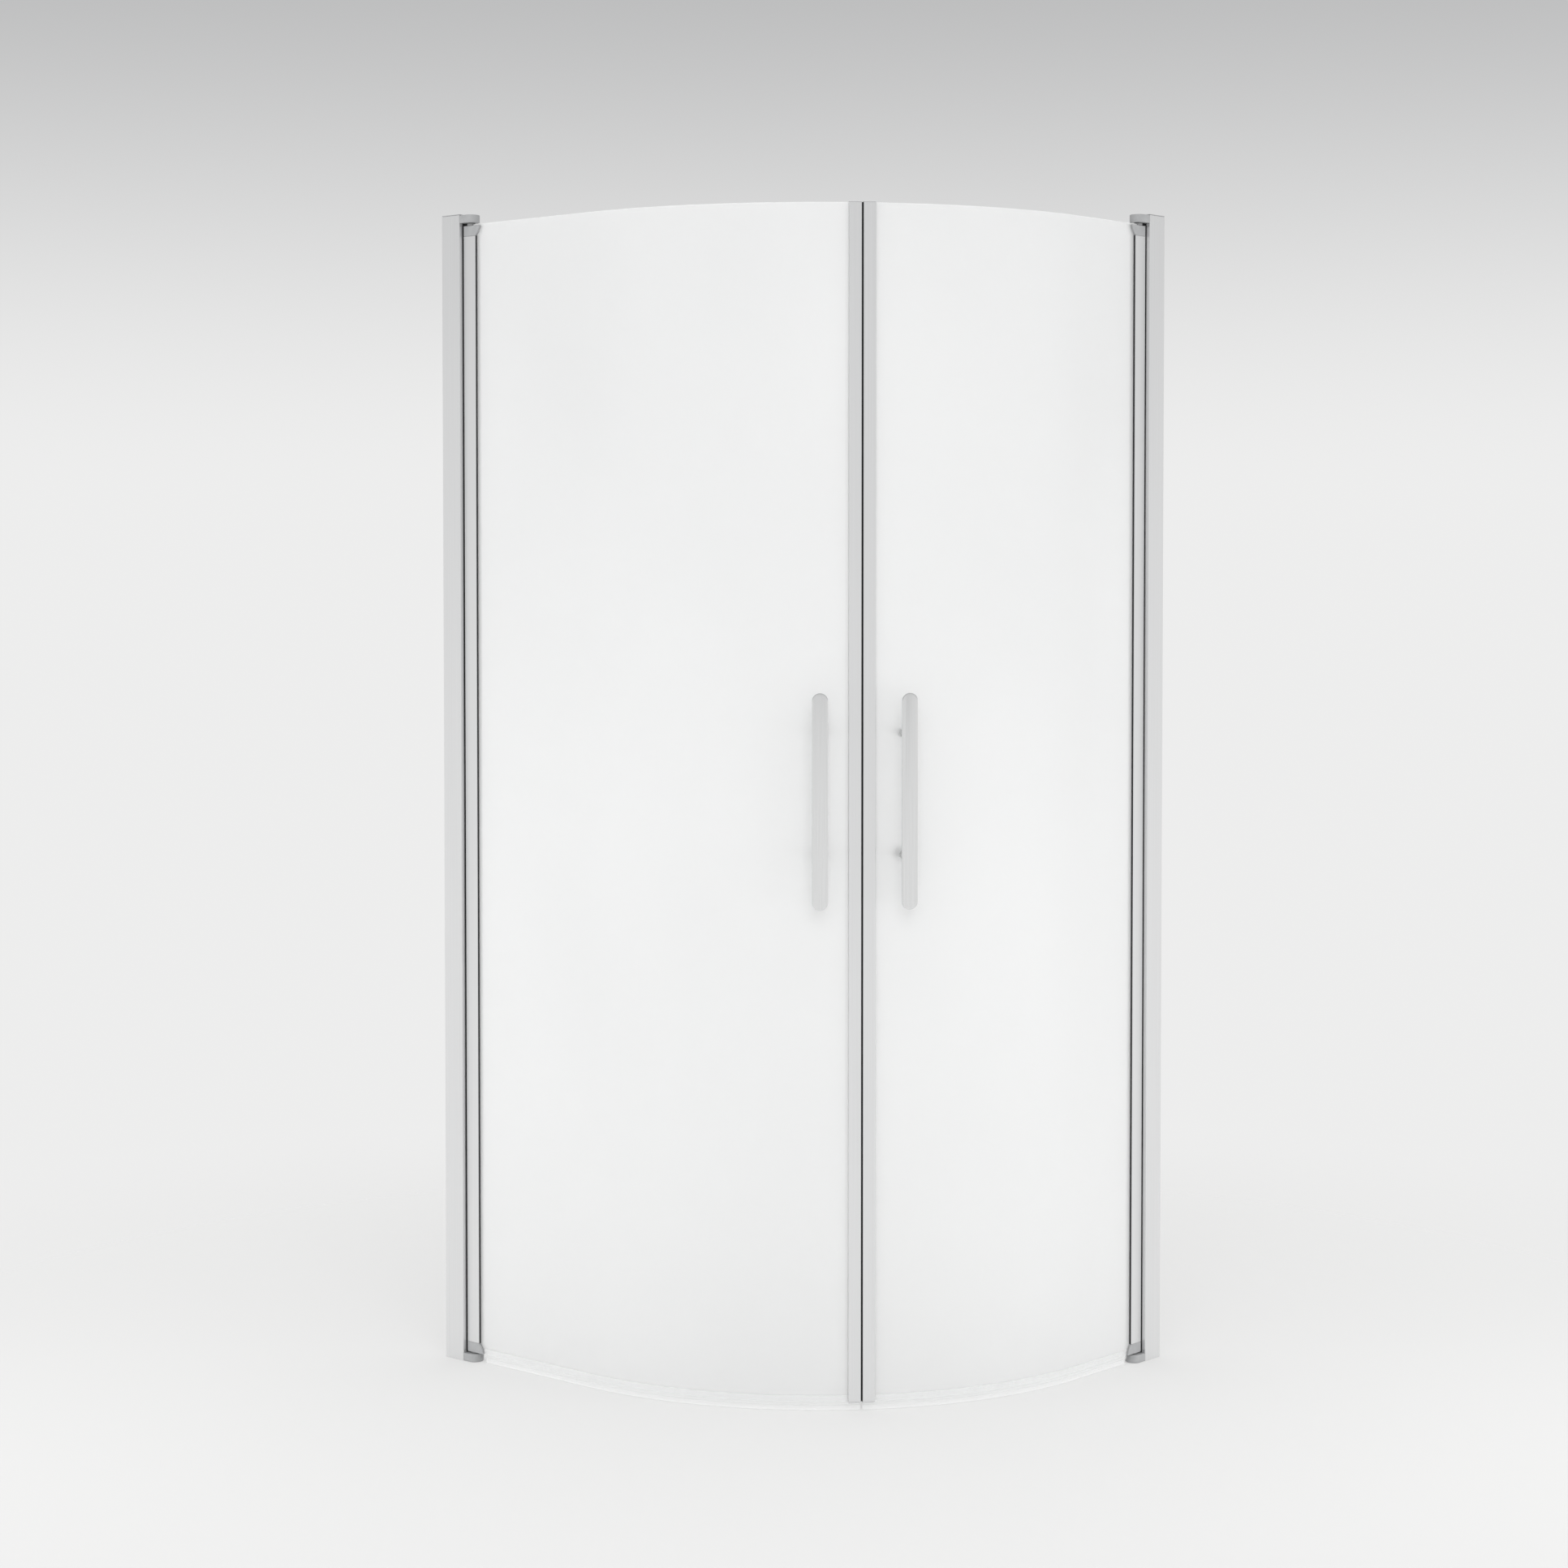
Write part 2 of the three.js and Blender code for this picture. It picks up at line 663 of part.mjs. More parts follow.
function addDoor(frame, side) {
  const door = new THREE.Group();
  frame.add(door);
  addPiece(door, side, 'hinge_stile', 'satin', hingeStile());
  addPiece(door, side, 'glazing_gasket', 'black', glazingGasket());
  addPiece(door, side, 'stile_cap_bottom', 'capGrey', stileEndCap(), doorLow);
  hangFrom(addPiece(door, side, 'stile_cap_top', 'capGrey', stileEndCap()), side, doorHigh);
  addPiece(door, side, 'pivot_bush_bottom', 'bushGrey', pivotBush(), doorLow);
  hangFrom(addPiece(door, side, 'pivot_bush_top', 'bushGrey', pivotBush()), side, doorHigh);
  addPiece(door, side, 'door_glass', 'frosted', doorGlass(side));
  addPiece(door, side, 'closing_profile', 'satin', closingProfile(side));
  const stripLow = glass.low - seat - strip.endCap;
  addPiece(door, side, 'closing_cap_bottom', 'capGrey', closingEndCap(side), stripLow);
  addPiece(door, side, 'closing_cap_top', 'capGrey', closingEndCap(side), glassHigh + seat);
  addPiece(door, side, 'magnet_seal', 'black', magnetSeal(side));
  addPiece(door, side, 'bottom_seal', 'clear', bottomSeal(side));
  addHandle(door, side);
}

function addHandle(door, side) {
  const grip = new THREE.Group();
  const run = side.run - handle.fromJoint;
  const [x, y] = along(side, run, 0);
  grip.position.set(x, side.hand * y, handle.low);
  grip.rotation.z = (side.hand * (run - side.straight)) / bendRadius;
  door.add(grip);
  addPiece(grip, side, 'handle_bar', 'chrome', handleBar());
  addPiece(grip, side, 'handle_standoff_lower', 'chrome', handleStandoff(), fixing.low);
  addPiece(grip, side, 'handle_standoff_upper', 'chrome', handleStandoff(), fixing.high);
  addPiece(grip, side, 'glass_washer_lower', 'clear', glassWasher(), fixing.low);
  addPiece(grip, side, 'glass_washer_upper', 'clear', glassWasher(), fixing.high);
  addPiece(grip, side, 'inner_knob', 'chrome', innerKnob(), fixing.low);
  addPiece(grip, side, 'inner_cap', 'chrome', innerCap(), fixing.high);
}

const enclosure = new THREE.Group();
for (const side of sides) {
  const frame = new THREE.Group();
  enclosure.add(frame);
  if (side.hand > 0) {
    frame.position.y = -leftReach;
  } else {
    frame.position.x = backReach;
    frame.rotation.z = -rightAngle;
  }
  addPost(frame, side);
  addDoor(frame, side);
}

export default enclosure;
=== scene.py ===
import json
import math

import bmesh
import bpy
import numpy as np
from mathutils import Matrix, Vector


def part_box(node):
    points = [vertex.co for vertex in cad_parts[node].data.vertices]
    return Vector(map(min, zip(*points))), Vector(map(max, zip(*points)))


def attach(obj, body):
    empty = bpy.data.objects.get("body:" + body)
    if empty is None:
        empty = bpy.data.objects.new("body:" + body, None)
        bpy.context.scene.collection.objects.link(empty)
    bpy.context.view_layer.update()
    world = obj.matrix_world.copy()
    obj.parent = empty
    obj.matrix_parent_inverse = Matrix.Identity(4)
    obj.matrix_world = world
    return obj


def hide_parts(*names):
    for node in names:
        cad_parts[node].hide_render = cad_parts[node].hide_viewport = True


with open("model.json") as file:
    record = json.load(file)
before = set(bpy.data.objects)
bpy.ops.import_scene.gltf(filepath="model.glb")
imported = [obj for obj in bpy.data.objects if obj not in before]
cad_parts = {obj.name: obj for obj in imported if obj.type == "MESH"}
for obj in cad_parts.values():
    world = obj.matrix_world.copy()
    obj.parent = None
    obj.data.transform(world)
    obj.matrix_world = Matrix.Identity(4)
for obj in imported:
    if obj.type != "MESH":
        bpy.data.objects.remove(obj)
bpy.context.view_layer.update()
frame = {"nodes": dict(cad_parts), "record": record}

# Round shower enclosure with two bent glass doors. Metres, Z up, origin where both walls meet the floor.
# Each side has a plan of its own: u runs away from its wall, w goes inwards from the outer face of its post.

scene = bpy.context.scene
print("frame loaded:", len(frame["nodes"]), "nodes")


# Sizes that several pieces share; those of the posts are read from the frame

glass = {
    "thickness": 0.006,
    "bendRadius": 0.560,                    # of the outer face
    "leftSweep": math.radians(48.1),        # the left door's part of the quarter turn
    "arris": 0.0009,
    "step": 0.004,                          # length of a face along the pane
}
seat = 0.0003                               # gap between pieces that rest on each other
rightAngle = math.pi / 2

postLow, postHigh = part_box("left_hinge_post")
leftReach = -postLow.y
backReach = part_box("right_hinge_post")[1].x
postTop = postHigh.z
postReach = postHigh.x
postDepth = postHigh.y - postLow.y
middle = postDepth / 2
glassInset = (postDepth - glass["thickness"]) / 2
bendDepth = glassInset + glass["bendRadius"]

rightSweep = rightAngle - glass["leftSweep"]
sides = [
    {"name": "left", "hand": 1, "sweep": glass["leftSweep"], "straight": backReach - bendDepth},
    {"name": "right", "hand": -1, "sweep": rightSweep, "straight": leftReach - bendDepth},
]
for side in sides:
    side["run"] = side["straight"] + glass["bendRadius"] * side["sweep"]
    side["door"] = "door_" + side["name"]


# Box of a node in the plan of its side
def planBox(side, node):
    low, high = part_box(side["name"] + "_" + node)
    if side["hand"] > 0:
        return (low.x, high.x), (low.y + leftReach, high.y + leftReach), (low.z, high.z)
    return (-high.y, -low.y), (backReach - high.x, backReach - low.x), (low.z, high.z)


# Surfaces

# Plan to world: the left plan is shifted to its wall, the right one is its mirror image on the back wall
def toWorld(side, plan):
    u, w, z = np.moveaxis(plan, -1, 0)
    if side["hand"] > 0:
        return np.stack([u, w - leftReach, z], -1)
    return np.stack([backReach - w, -u, z], -1)


# Line of the glass: straight, then an arc; run is the length along the outer face, inset goes inwards
def alongGlass(side, run, inset):
    turn = np.maximum(run - side["straight"], 0) / glass["bendRadius"]
    radius = glass["bendRadius"] - inset
    u = np.minimum(run, side["straight"]) + radius * np.sin(turn)
    return np.stack([u, bendDepth - radius * np.cos(turn)], -1)


# Closed outline from corners (x, y, radius): each radius is an arc between the two tangent points
def rounded(corners, steps=6):
    points = []
    for index, corner in enumerate(corners):
        here = np.array(corner[:2])
        radius = corner[2] if len(corner) > 2 else 0
        if not radius:
            points.append(here[None])
            continue
        before = np.array(corners[index - 1][:2]) - here
        after = np.array(corners[(index + 1) % len(corners)][:2]) - here
        before = before / np.linalg.norm(before)
        after = after / np.linalg.norm(after)
        half = math.acos(np.clip(before @ after, -1, 1)) / 2
        bisector = (before + after) / np.linalg.norm(before + after)
        centre = here + bisector * radius / math.sin(half)
        first = math.atan2(*(here + before * radius / math.tan(half) - centre)[::-1])
        last = math.atan2(*(here + after * radius / math.tan(half) - centre)[::-1])
        turn = (last - first + math.pi) % (2 * math.pi) - math.pi
        angle = first + turn * np.linspace(0, 1, steps + 1)
        points.append(centre + radius * np.stack([np.cos(angle), np.sin(angle)], -1))
    return np.concatenate(points)


# Skin over a stack of rings: neighbouring rings are joined by four-sided faces. The first and the last
# ring are closed by a flat face, unless the stack ends in a point or runs back into its first ring.
def skin(rings, ends="flat"):
    levels, count = rings.shape[:2]
    index = np.arange(levels * count).reshape(levels, count)
    lower = index if ends == "loop" else index[:-1]
    upper = np.roll(index, -1, 0) if ends == "loop" else index[1:]
    quads = np.stack([lower, np.roll(lower, -1, 1), np.roll(upper, -1, 1), upper], -1).reshape(-1, 4).tolist()
    if ends == "flat":
        quads += [index[0][::-1].tolist(), index[-1].tolist()]
    return rings.reshape(-1, 3), quads


# Ring: a plan outline at one height
def ring(outline, z):
    return np.column_stack([outline, np.full(len(outline), z)])


# Upright prism: one plan outline at several heights
def prism(outline, *heights):
    return skin(np.stack([ring(outline, z) for z in heights]))


# Strip along the glass: a section of points (inset, height) carried along the line of the glass.
# Past the run where it steps down, no point of the section stands above the shelf.
def alongStrip(side, section, start, end, step, stepDown=None, shelf=None):
    def stretch(first, last):
        return np.linspace(first, last, max(2, int((last - first) / step) + 1))

    def ringsAt(runs, heights):
        places = alongGlass(side, runs[:, None], section[None, :, 0])
        levels = np.broadcast_to(heights[None, :, None], (*places.shape[:2], 1))
        return np.concatenate([places, levels], -1)

    heights = section[:, 1]
    if stepDown is None:
        return skin(ringsAt(stretch(start, end), heights))
    tall = ringsAt(stretch(start, stepDown), heights)
    flat = ringsAt(stretch(stepDown, end), np.minimum(heights, shelf))
    return skin(np.concatenate([tall, flat]))


# Pad with rounded edges: ringAt(inset) is its outline drawn in by an inset, and the edge is a quarter
# circle. The pad lies across an axis; lay(outline, level) turns outline points and a level into plan points.
def pad(ringAt, low, high, edge, lay, steps=5):
    swing = np.linspace(0, rightAngle, steps + 1)
    insets = edge * (1 - np.sin(swing))
    rises = edge * (1 - np.cos(swing))
    insets = np.concatenate([insets, insets[::-1]])
    levels = np.concatenate([low + rises, high - rises[::-1]])
    return skin(np.stack([lay(ringAt(inset), level) for inset, level in zip(insets, levels)]))


# Turned piece: a profile of points (radius, distance) spun about an axis through an origin
def turned(profile, origin, axis, ends="point", facets=40):
    axis = np.array(axis, float)
    across = np.array([0, 0, 1.0]) if abs(axis[2]) < 0.5 else np.array([1.0, 0, 0])
    other = np.cross(axis, across)
    angle = np.linspace(0, 2 * math.pi, facets, endpoint=False)
    spokes = np.cos(angle)[:, None] * across + np.sin(angle)[:, None] * other
    radius, distance = profile.T
    rings = np.array(origin) + distance[:, None, None] * axis + radius[:, None, None] * spokes
    return skin(rings, ends)


creaseAngle = math.radians(32)        # an edge that turns by more than this is sharp
mergeDistance = 1e-6


# Piece made of one or more skins. It rides on its body and stands for its node.
def addPiece(name, side, body, node, finish, *skins, bevel=0):
    points = np.concatenate([toWorld(side, plan) for plan, faces in skins])
    allFaces = []
    offset = 0
    for plan, faces in skins:
        allFaces += [[offset + corner for corner in face] for face in faces]
        offset += len(plan)
    name = name + "_" + side["name"]
    mesh = bpy.data.meshes.new(name)
    mesh.from_pydata(points.tolist(), [], allFaces)
    solid = bmesh.new()
    solid.from_mesh(mesh)
    bmesh.ops.remove_doubles(solid, verts=solid.verts, dist=mergeDistance)
    bmesh.ops.dissolve_degenerate(solid, edges=solid.edges, dist=mergeDistance)
    bmesh.ops.recalc_face_normals(solid, faces=solid.faces)
    solid.to_mesh(mesh)
    solid.free()
    mesh.polygons.foreach_set("use_smooth", np.ones(len(mesh.polygons), bool))
    mesh.set_sharp_from_angle(angle=creaseAngle)
    piece = bpy.data.objects.new(name, mesh)
    scene.collection.objects.link(piece)
    mesh.materials.append(finishes[finish]["material"])
    if bevel:
        edge = piece.modifiers.new("softEdges", "BEVEL")
        edge.width = bevel
        edge.segments = 2
        edge.limit_method = "ANGLE"
        edge.angle_limit = creaseAngle
        edge.harden_normals = True
    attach(piece, body)
    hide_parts(side["name"] + "_" + node)


# Shader expressions

# A socket of a node tree; Python's operators on it add Math nodes
class Field:
    def __init__(self, tree, socket):
        self.tree = tree
        self.socket = socket

    def math(self, operation, first, second):
        return self.tree.node("ShaderNodeMath", {"operation": operation}, {0: first, 1: second})

    def __add__(self, other):
        return self.math("ADD", self, other)

    def __radd__(self, other):
        return self.math("ADD", other, self)

    def __mul__(self, other):
        return self.math("MULTIPLY", self, other)

    def __rmul__(self, other):
        return self.math("MULTIPLY", other, self)


tintRange = (0.3, 0.7)        # stretch of the noise over which a tint goes from dark to light


class Tree:
    def __init__(self, owner):
        owner.use_nodes = True
        self.nodes = owner.node_tree.nodes
        self.links = owner.node_tree.links
        self.nodes.clear()

    # Any node: its settings first, then the values or links of its sockets; gives one of its outputs
    def node(self, kind, settings=None, sockets=None, output=0):
        made = self.nodes.new(kind)
        for key, value in (settings or {}).items():
            if key == "stops":
                ramp = made.color_ramp.elements
                while len(ramp) < len(value):
                    ramp.new(1)
                for stop, (position, colour) in zip(ramp, value):
                    stop.position = position
                    stop.color = (*colour, 1)
            else:
                setattr(made, key, value)
        for key, value in (sockets or {}).items():
            if isinstance(value, Field):
                self.links.new(value.socket, made.inputs[key])
            else:
                made.inputs[key].default_value = value
        return Field(self, made.outputs[output]) if made.outputs else made

    # Noise on the piece's own coordinates; stretch is the number of waves per metre along X, Y and Z
    def grain(self, stretch, detail=2.0):
        place = self.node("ShaderNodeTexCoord", output="Object")
        stretched = self.node("ShaderNodeMapping", {}, {"Vector": place, "Scale": stretch})
        return self.node("ShaderNodeTexNoise", {}, {"Vector": stretched, "Scale": 1.0, "Detail": detail})

    # Colour between dark and light by a noise
    def tint(self, noise, dark, light):
        return self.node("ShaderNodeValToRGB", {"stops": list(zip(tintRange, (dark, light)))}, {"Fac": noise})

    def bump(self, heights, strength, distance):
        sockets = {"Height": heights, "Strength": strength, "Distance": distance}
        return self.node("ShaderNodeBump", {}, sockets)

    # Smooth rise from 0 to 1 as a value goes from low to high
    def rise(self, value, low, high):
        limits = {"Value": value, "From Min": low, "From Max": high}
        return self.node("ShaderNodeMapRange", {"interpolation_type": "SMOOTHSTEP"}, limits)

    # Mix of two colours: this node's sockets for colours are inputs 6 and 7 and output 2
    def mix(self, factor, first, second):
        return self.node("ShaderNodeMix", {"data_type": "RGBA"}, {"Factor": factor, 6: first, 7: second}, 2)


# A finish: a material for a slot of the record. A second shader may take over on faces that look up or
# down, by the square of the normal's z.
def makeFinish(name, slot, build, buildEdge=None):
    material = bpy.data.materials.new(name)
    tree = Tree(material)
    surface = tree.node("ShaderNodeBsdfPrincipled", {}, build(tree))
    if buildEdge:
        edge = tree.node("ShaderNodeBsdfPrincipled", {}, buildEdge(tree))
        normal = tree.node("ShaderNodeTexCoord", output="Normal")
        upright = tree.node("ShaderNodeSeparateXYZ", {}, {0: normal}, output="Z")
        surface = tree.node("ShaderNodeMixShader", {}, {0: upright * upright, 1: surface, 2: edge})
    tree.node("ShaderNodeOutputMaterial", {}, {"Surface": surface})
    return {"material": material, "slot": slot}


# Drawn aluminium: fine lines along the length of the profiles, satin anodised
def satinAluminium(tree):
    lines = tree.grain((420, 420, 3), detail=3)
    cloud = tree.grain((9, 9, 2))
    return {
        "Base Color": tree.tint(lines * 0.5 + cloud * 0.5, (0.77, 0.773, 0.776), (0.82, 0.823, 0.826)),
        "Metallic": 0.86,
        "Roughness": lines * 0.1 + 0.27,
        "Normal": tree.bump(lines, 0.05, 0.0002),
    }


# Soft polished handle metal with faint lines along the bar
def handleMetal(tree):
    lines = tree.grain((900, 900, 8))
    return {
        "Base Color": tree.tint(lines, (0.785, 0.789, 0.791), (0.835, 0.839, 0.841)),
        "Metallic": 1.0,
        "Roughness": lines * 0.1 + 0.2,
        "Normal": tree.bump(lines, 0.03, 0.0001),
    }


# Matte grey moulding with a fine spark-eroded grain
def capGrey(tree):
    grain = tree.grain((1600, 1600, 1600))
    cloud = tree.grain((60, 60, 60))
    return {
        "Base Color": tree.tint(cloud, (0.33, 0.335, 0.34), (0.375, 0.38, 0.385)),
        "Roughness": grain * 0.12 + 0.3,
        "Normal": tree.bump(grain, 0.1, 0.0001),
    }


# Lighter moulding of the caps on the meeting strips
def stripCapGrey(tree):
    grain = tree.grain((1600, 1600, 1600))
    return {
        "Base Color": tree.tint(grain, (0.56, 0.565, 0.57), (0.62, 0.625, 0.63)),
        "Roughness": grain * 0.14 + 0.4,
        "Normal": tree.bump(grain, 0.1, 0.0002),
    }


# Turned steel with a fine grain
def plainSteel(tree):
    grain = tree.grain((700, 700, 700), detail=3)
    return {
        "Base Color": tree.tint(grain, (0.34, 0.343, 0.347), (0.42, 0.423, 0.427)),
        "Metallic": 1.0,
        "Roughness": grain * 0.15 + 0.3,
        "Normal": tree.bump(grain, 0.04, 0.0001),
    }


# Dull black rubber with a grain drawn out along its length
def blackRubber(tree):
    grain = tree.grain((1200, 1200, 60), detail=3)
    return {
        "Base Color": tree.tint(grain, (0.014, 0.014, 0.016), (0.028, 0.028, 0.03)),
        "Roughness": grain * 0.2 + 0.5,
        "Normal": tree.bump(grain, 0.15, 0.0002),
    }


# Satin-etched glass: it scatters what lies behind it, with a fine even tooth on both faces
def frostedGlass(tree):
    tooth = tree.grain((2200, 2200, 2200))
    cloud = tree.grain((3, 3, 2))
    return {
        "Base Color": tree.tint(cloud, (0.928, 0.932, 0.931), (0.948, 0.952, 0.951)),
        "Roughness": cloud * 0.06 + 0.3,
        "IOR": 1.45,
        "Transmission Weight": 0.5,
        "Normal": tree.bump(tooth, 0.05, 0.0001),
    }


# Ground edge of the glass: white, without a view through it, with a painted glow: a weak white emission
# stands in for the light carried along inside the pane
def groundEdgeWithPaintedGlow(tree):
    tooth = tree.grain((1500, 1500, 1500), detail=3)
    return {
        "Base Color": tree.tint(tooth, (0.95, 0.955, 0.953), (0.98, 0.983, 0.981)),
        "Roughness": tooth * 0.1 + 0.45,
        # painted glow: the edge gives off a little light of its own, though it is no lamp
        "Emission Color": (1, 1, 1, 1),
        "Emission Strength": 0.1,
        "Normal": tree.bump(tooth, 0.08, 0.0001),
    }


# Clear flexible strip: a thin hazy film that lets the light through to the glass behind it
def clearVinyl(tree):
    haze = tree.grain((160, 160, 160), detail=3)
    return {
        "Base Color": tree.tint(haze, (0.93, 0.94, 0.94), (0.97, 0.975, 0.975)),
        "Roughness": haze * 0.15 + 0.2,
        "IOR": 1.48,
        "Alpha": 0.24,
        "Normal": tree.bump(haze, 0.03, 0.0001),
    }


finishes = {
    "satin": makeFinish("satinAluminium", "satin_aluminium", satinAluminium),
    "handle": makeFinish("handleMetal", "handle_metal", handleMetal),
    "cap": makeFinish("capGrey", "cap_grey", capGrey),
    "stripCap": makeFinish("stripCapGrey", "cap_grey", stripCapGrey),
    "steel": makeFinish("plainSteel", "steel", plainSteel),
    "rubber": makeFinish("blackRubber", "black_rubber", blackRubber),
    "bush": makeFinish("bushPlastic", "bush_plastic", capGrey),
    "frosted": makeFinish("frostedGlass", "frosted_glass", frostedGlass, groundEdgeWithPaintedGlow),
    "clear": makeFinish("clearVinyl", "clear_vinyl", clearVinyl),
}
print("finishes made:", len(finishes))


# Carried-over nodes keep their shape and get the finish of their slot

slotFinish = {finish["slot"]: finish["material"] for name, finish in finishes.items() if name != "stripCap"}
for entry in frame["record"]["subparts"]:
    carried = frame["nodes"][entry["node"]]
    carried.data.materials.clear()
    carried.data.materials.append(slotFinish[entry["material_slot"]])


# Post: cap, seal and the pivot brackets with their pins and screws

postCapLook = {"plate": 0.0012, "edge": 0.0005, "corner": 0.0012, "leastCorner": 0.0001}


# Cover plate on the post: a pad whose outline has two round corners on the side of the door
def addPostCap(side):
    (u0, u1), (w0, w1), (_, z1) = planBox(side, "post_cap")

    def ringAt(inset):
        corner = max(postCapLook["corner"] - inset, postCapLook["leastCorner"])
        return rounded([
            (u0 + inset, w0 + inset), (u1 - inset, w0 + inset, corner),
            (u1 - inset, w1 - inset, corner), (u0 + inset, w1 - inset),
        ])

    cover = pad(ringAt, z1 - postCapLook["plate"], z1, postCapLook["edge"], ring)
    addPiece("postCap", side, "wall_posts", "post_cap", "cap", cover)


postSealLook = {"crown": 0.0004}


# Black strip in the groove of the post: an upright prism with round corners towards the door
def addPostSeal(side):
    (u0, u1), (w0, w1), (z0, z1) = planBox(side, "post_seal")
    crown = postSealLook["crown"]
    section = rounded([(u0, w0), (u1, w0, crown), (u1, w1, crown), (u0, w1)])
    addPiece("postSeal", side, "wall_posts", "post_seal", "rubber", prism(section, z0, z1))


bracketLook = {
    "arm": 0.0132,            # heights from the end of the post
    "foot": 0.0177,
    "block": 0.028,
    "edge": 0.0018,
    "front": 0.0023,          # foot, neck and block stay this far behind the sides of the arm
    "sealGroove": 0.001,
    "join": 0.002,            # how deep one solid of a bracket runs into the next
    "shy": 0.00005,           # and how far its sides stay behind the faces of the other
    "nosePoints": 33,
}


# Height of a point on a bracket: both are the same part, set on the floor and upside down on the post's end
def bracketLevel(end, distance):
    return distance if end == "bottom" else postTop - distance


# Bracket: the arm is a pad with a half-round nose. Behind it are three prisms: a foot that fills the notch
# of the post, a neck that joins it to the arm, and a block inside the post.
def addBracket(side, end):
    (u0, u1), (w0, w1), _ = planBox(side, end + "_pivot_bracket")
    reach = w1 - middle
    pivot = u1 - reach
    armStart = postReach + seat

    def ringAt(inset):
        angle = np.linspace(-rightAngle, rightAngle, bracketLook["nosePoints"])
        nose = np.stack([np.cos(angle), np.sin(angle)], -1) * (reach - inset) + (pivot, middle)
        back = np.array([[armStart, w1 - inset], [armStart, w0 + inset]])
        return np.concatenate([nose, back])

    def lay(outline, distance):
        return ring(outline, bracketLevel(end, distance))

    def upright(corners, low, high):
        return prism(np.array(corners), bracketLevel(end, low), bracketLevel(end, high))

    join, shy, edge = bracketLook["join"], bracketLook["shy"], bracketLook["edge"]
    front, rear = w0 + bracketLook["front"], w1 - bracketLook["front"]
    sealFront, sealRear = planBox(side, "post_seal")[1]
    groove = postReach - bracketLook["sealGroove"]
    arm = pad(ringAt, 0, bracketLook["arm"], edge, lay, steps=8)
    foot = upright([
        (u0, front), (postReach, front), (postReach, sealFront - seat), (groove, sealFront - seat),
        (groove, sealRear + seat), (postReach, sealRear + seat), (postReach, rear), (u0, rear),
    ], 0, bracketLook["foot"])
    neck = upright([
        (groove - join, front + shy), (armStart + join, front + shy),
        (armStart + join, rear - shy), (groove - join, rear - shy),
    ], edge, bracketLook["arm"] - edge)
    block = upright([
        (u0 + shy, front + shy), (groove - join, front + shy),
        (groove - join, rear - shy), (u0 + shy, rear - shy),
    ], bracketLook["foot"] - join, bracketLook["block"])
    addPiece(end + "PivotArm", side, "wall_posts", end + "_pivot_bracket", "cap", arm, foot, neck, block)


pinLook = {"radius": 0.004, "shoulderEdge": 0.0004, "tip": 0.0006}


# Pin: a turned rod with a shoulder in the gap between bracket and door
def addPin(side, end):
    (u0, u1), (w0, w1), heights = planBox(side, end + "_pivot_pin")
    base = bracketLevel(end, 0)
    start, tip = sorted(abs(z - base) for z in heights)
    armEnd = bracketLook["arm"] + seat
    doorStart = min(abs(z - base) for z in planBox(side, "stile_cap_" + end)[2]) - seat
    radius, edge = pinLook["radius"], pinLook["shoulderEdge"]
    shoulder = (u1 - u0) / 2
    profile = rounded([
        (0, start), (radius, start), (radius, armEnd), (shoulder, armEnd, edge),
        (shoulder, doorStart, edge), (radius, doorStart), (radius, tip, pinLook["tip"]), (0, tip),
    ], steps=3)
    origin = ((u0 + u1) / 2, (w0 + w1) / 2, base)
    pin = turned(profile, origin, (0, 0, 1 if end == "bottom" else -1))
    addPiece(end + "PivotPin", side, "wall_posts", end + "_pivot_pin", "steel", pin)


screwLook = {"recess": 0.0011, "recessRadius": 0.0014, "crown": 0.0009, "round": 0.0006, "headHeight": 0.0022}


# Screw on the inner side: a turned profile with a sloped head, a round recess and a pointed shank
def addBracketScrew(side, end):
    (u0, u1), (w0, w1), (z0, z1) = planBox(side, end + "_bracket_screw")
    head = (u1 - u0) / 2
    shank = head / 2
    length = w1 - w0
    recess, recessRadius = screwLook["recess"], screwLook["recessRadius"]
    crown, headHeight = screwLook["crown"], screwLook["headHeight"]
    profile = rounded([
        (0, recess), (recessRadius, recess), (recessRadius, 0), (head - crown, 0),
        (head, crown, screwLook["round"]), (head, headHeight), (shank, headHeight),
        (shank, length - shank), (0, length),
    ], steps=4)
    screw = turned(profile, ((u0 + u1) / 2, w1, (z0 + z1) / 2), (0, -1, 0))
    addPiece(end + "BracketScrew", side, "wall_posts", end + "_bracket_screw", "steel", screw)


# Door: stile, bead, caps, bushes, glass, meeting strip and seals

stileLook = {"corner": 0.002, "lip": 0.0016, "chamfer": 0.001, "chamferRound": 0.0003}


# Stile: an upright prism, round towards the post, chamfered towards the glass, with a slot between two lips
def addStile(side):
    (u0, u1), (w0, w1), (z0, z1) = planBox(side, "hinge_stile")
    slot = planBox(side, "glazing_gasket")[0][0] - seat
    lip, chamfer, soft = stileLook["lip"], stileLook["chamfer"], stileLook["chamferRound"]
    section = rounded([
        (u0, w0, stileLook["corner"]),
        (u1 - chamfer, w0, soft),
        (u1, w0 + chamfer, soft),
        (u1, w0 + lip),
        (slot, w0 + lip),
        (slot, w1 - lip),
        (u1, w1 - lip),
        (u1, w1 - chamfer, soft),
        (u1 - chamfer, w1, soft),
        (u0, w1, stileLook["corner"]),
    ])
    addPiece("hingeStile", side, side["door"], "hinge_stile", "satin", prism(section, z0, z1))


beadLook = {"base": 0.0008, "cover": 0.0007, "coverDrop": 0.0006, "round": 0.0003}


